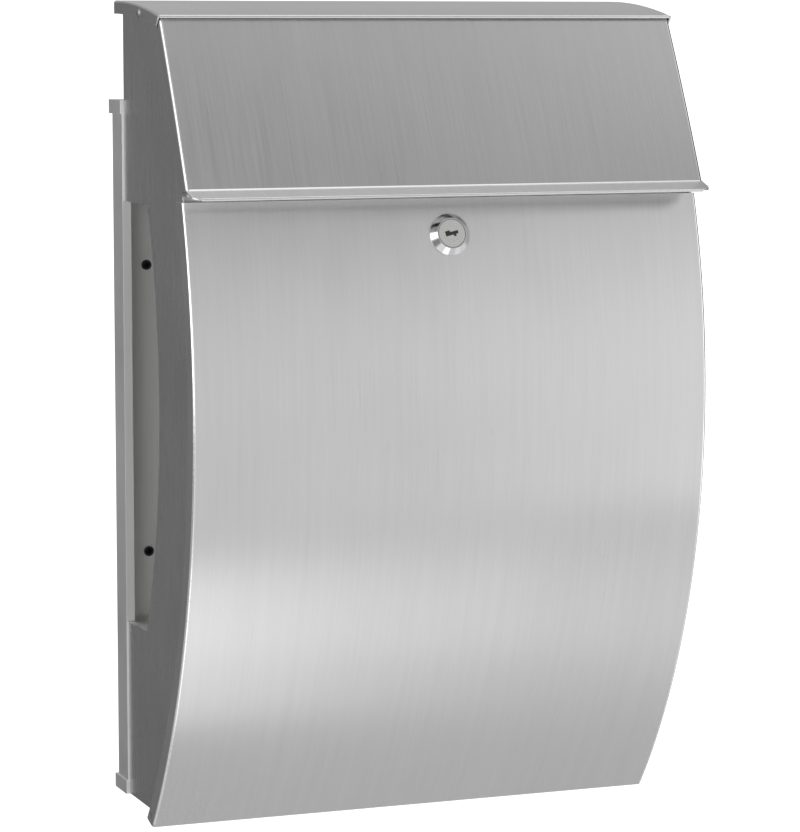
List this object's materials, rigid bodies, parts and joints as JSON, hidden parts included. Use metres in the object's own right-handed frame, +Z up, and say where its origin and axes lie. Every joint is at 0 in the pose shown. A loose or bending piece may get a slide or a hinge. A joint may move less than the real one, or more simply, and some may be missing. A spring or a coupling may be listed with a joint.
{
  "type": "wall mounted mailbox",
  "caption": "Wall mounted mailbox: curved locking front door, lift-up hood flap over the mail slot and a side-through newspaper tube.",
  "frame": {"origin": "middle of the four wall screw holes, on the wall plane", "axes": "+Z up, the front faces -Y, the wall is the plane Y = 0, +X to the right seen from the front"},
  "size_m": [0.3714, 0.1896, 0.5581],
  "materials": {
    "side_steel": "brushed stainless, darker in use",
    "inner_steel": "plain stainless",
    "pan_steel": "plain stainless",
    "hood_steel": "vertically brushed stainless",
    "door_steel": "vertically brushed stainless",
    "rivet_steel": "satin",
    "lock_chrome": "polished",
    "plug_nickel": "satin nickel",
    "zinc_steel": "zinc plated",
    "black_plastic": "matt",
    "black_rubber": "matt"
  },
  "bodies": {
    "cabinet": {"left_side_panel": "side_steel", "right_side_panel": "side_steel", "floor_tray": "inner_steel", "newspaper_divider": "inner_steel", "newspaper_floor": "inner_steel", "newspaper_ceiling": "inner_steel", "upper_back_panel": "inner_steel", "slot_rail": "inner_steel", "rear_pan": "pan_steel", "pan_top_rail": "pan_steel", "pan_bottom_rail": "pan_steel", "wall_spacers": "black_plastic", "roof_cover": "hood_steel", "roof_rivets": "rivet_steel", "flap_pivot_pins": "rivet_steel", "flap_bumpers": "black_rubber", "door_hinge_pins": "rivet_steel", "door_bumpers": "black_rubber"},
    "door": {"door_panel": "door_steel", "lock_housing": "lock_chrome", "lock_nut": "zinc_steel"},
    "flap": {"flap": "hood_steel"},
    "lock": {"lock_plug": "plug_nickel", "lock_cam": "zinc_steel", "cam_washer": "zinc_steel", "cam_screw": "zinc_steel"}
  },
  "joints": [
    {"name": "door_hinge", "type": "hinge", "parent": "cabinet", "child": "door", "pos_m": [0, -0.08278, -0.269], "axis": [1, 0, 0], "range_deg": [0, 95]},
    {"name": "flap_hinge", "type": "hinge", "parent": "cabinet", "child": "flap", "pos_m": [0, -0.11559, 0.26378], "axis": [-1, 0, 0], "range_deg": [0, 50]},
    {"name": "lock_turn", "type": "hinge", "parent": "door", "child": "lock", "pos_m": [0, -0.17135, 0.127], "axis": [0, -0.9693, 0.2457], "range_deg": [0, 90]}
  ]
}
